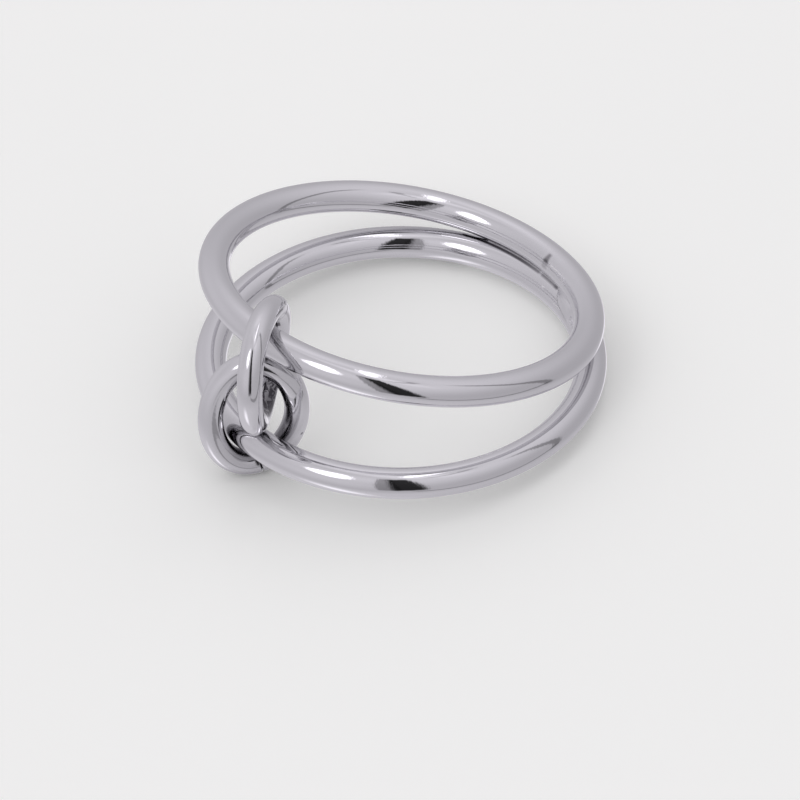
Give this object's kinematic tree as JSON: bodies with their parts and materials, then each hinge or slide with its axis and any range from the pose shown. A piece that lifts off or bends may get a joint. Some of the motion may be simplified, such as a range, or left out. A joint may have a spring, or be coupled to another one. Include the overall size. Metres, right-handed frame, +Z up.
{
  "type": "knot ring",
  "caption": "Finger ring of two round-wire hoops, soldered side by side at the back, fanning open to the front, where interlocked round-wire links tie them together.",
  "frame": {"origin": "centre of the bounding box, on the surface that the ring lies on", "axes": "+Z up from that surface, roughly along the finger's axis; -Y towards the links, +Y towards the solder joint; +X to the right seen from the links' side"},
  "size_m": [0.0216, 0.0226, 0.0107],
  "materials": {
    "polished_silver": "mirror-polished silver with a faint cool tint, fine buffing marks and a darker seam where each wire is closed"
  },
  "bodies": {
    "root": {"twin_band": "polished_silver", "upper_link": "polished_silver", "lower_link": "polished_silver"}
  },
  "joints": []
}
